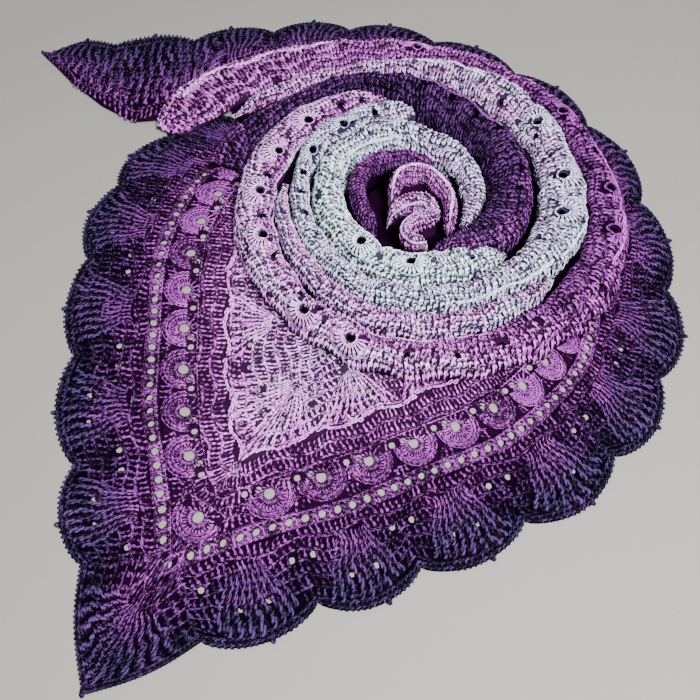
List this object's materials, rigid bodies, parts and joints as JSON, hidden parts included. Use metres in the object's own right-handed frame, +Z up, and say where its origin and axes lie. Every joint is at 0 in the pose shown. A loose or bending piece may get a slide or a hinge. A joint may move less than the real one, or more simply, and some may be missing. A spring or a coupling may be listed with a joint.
{
  "type": "crochet shawl",
  "caption": "Crochet lace shawl laid on a floor: its pointed corner lies flat and the rest is wound into a swirl of rolled folds.",
  "frame": {"origin": "centre of the laid shawl's bounding rectangle, on the floor it rests on", "axes": "+Z up from the floor, -Y towards the viewer and the shawl's flat corner, +X to the viewer's right"},
  "size_m": [0.6018, 0.6591, 0.0498],
  "materials": {
    "midnight": "dark navy and purple marled yarn, matt and slightly fuzzy",
    "purple": "deep purple marled yarn, matt and slightly fuzzy",
    "magenta": "magenta purple marled yarn, matt and slightly fuzzy",
    "mauve": "pink mauve marled yarn, matt and slightly fuzzy",
    "lavender": "pale lavender marled yarn, matt and slightly fuzzy",
    "mint": "pale blue-green marled yarn, matt and slightly fuzzy"
  },
  "bodies": {
    "root": {"corner_fan": "midnight", "border_left": "midnight", "border_front": "midnight", "border_right": "midnight", "border_back": "midnight", "tail": "midnight", "eyelet_band": "magenta", "shell_band": "magenta", "magenta_fold_right": "magenta", "fan_panel": "mauve", "pink_fold_left": "mauve", "pink_fold_front": "mauve", "pink_fold_tail": "mauve", "pink_ribbon": "mauve", "tongue_ribbon": "mauve", "lace_fold_front": "lavender", "lavender_fold_left": "lavender", "white_fold_front": "lavender", "white_fold_right": "lavender", "grey_fold_tail": "lavender", "grey_fold_inner": "mint", "mint_fold_left": "mint", "mint_fold_front": "mint", "purple_fold_inner": "purple", "purple_fold_top": "purple", "purple_ribbon": "purple", "hidden_layers": "purple"}
  },
  "joints": []
}
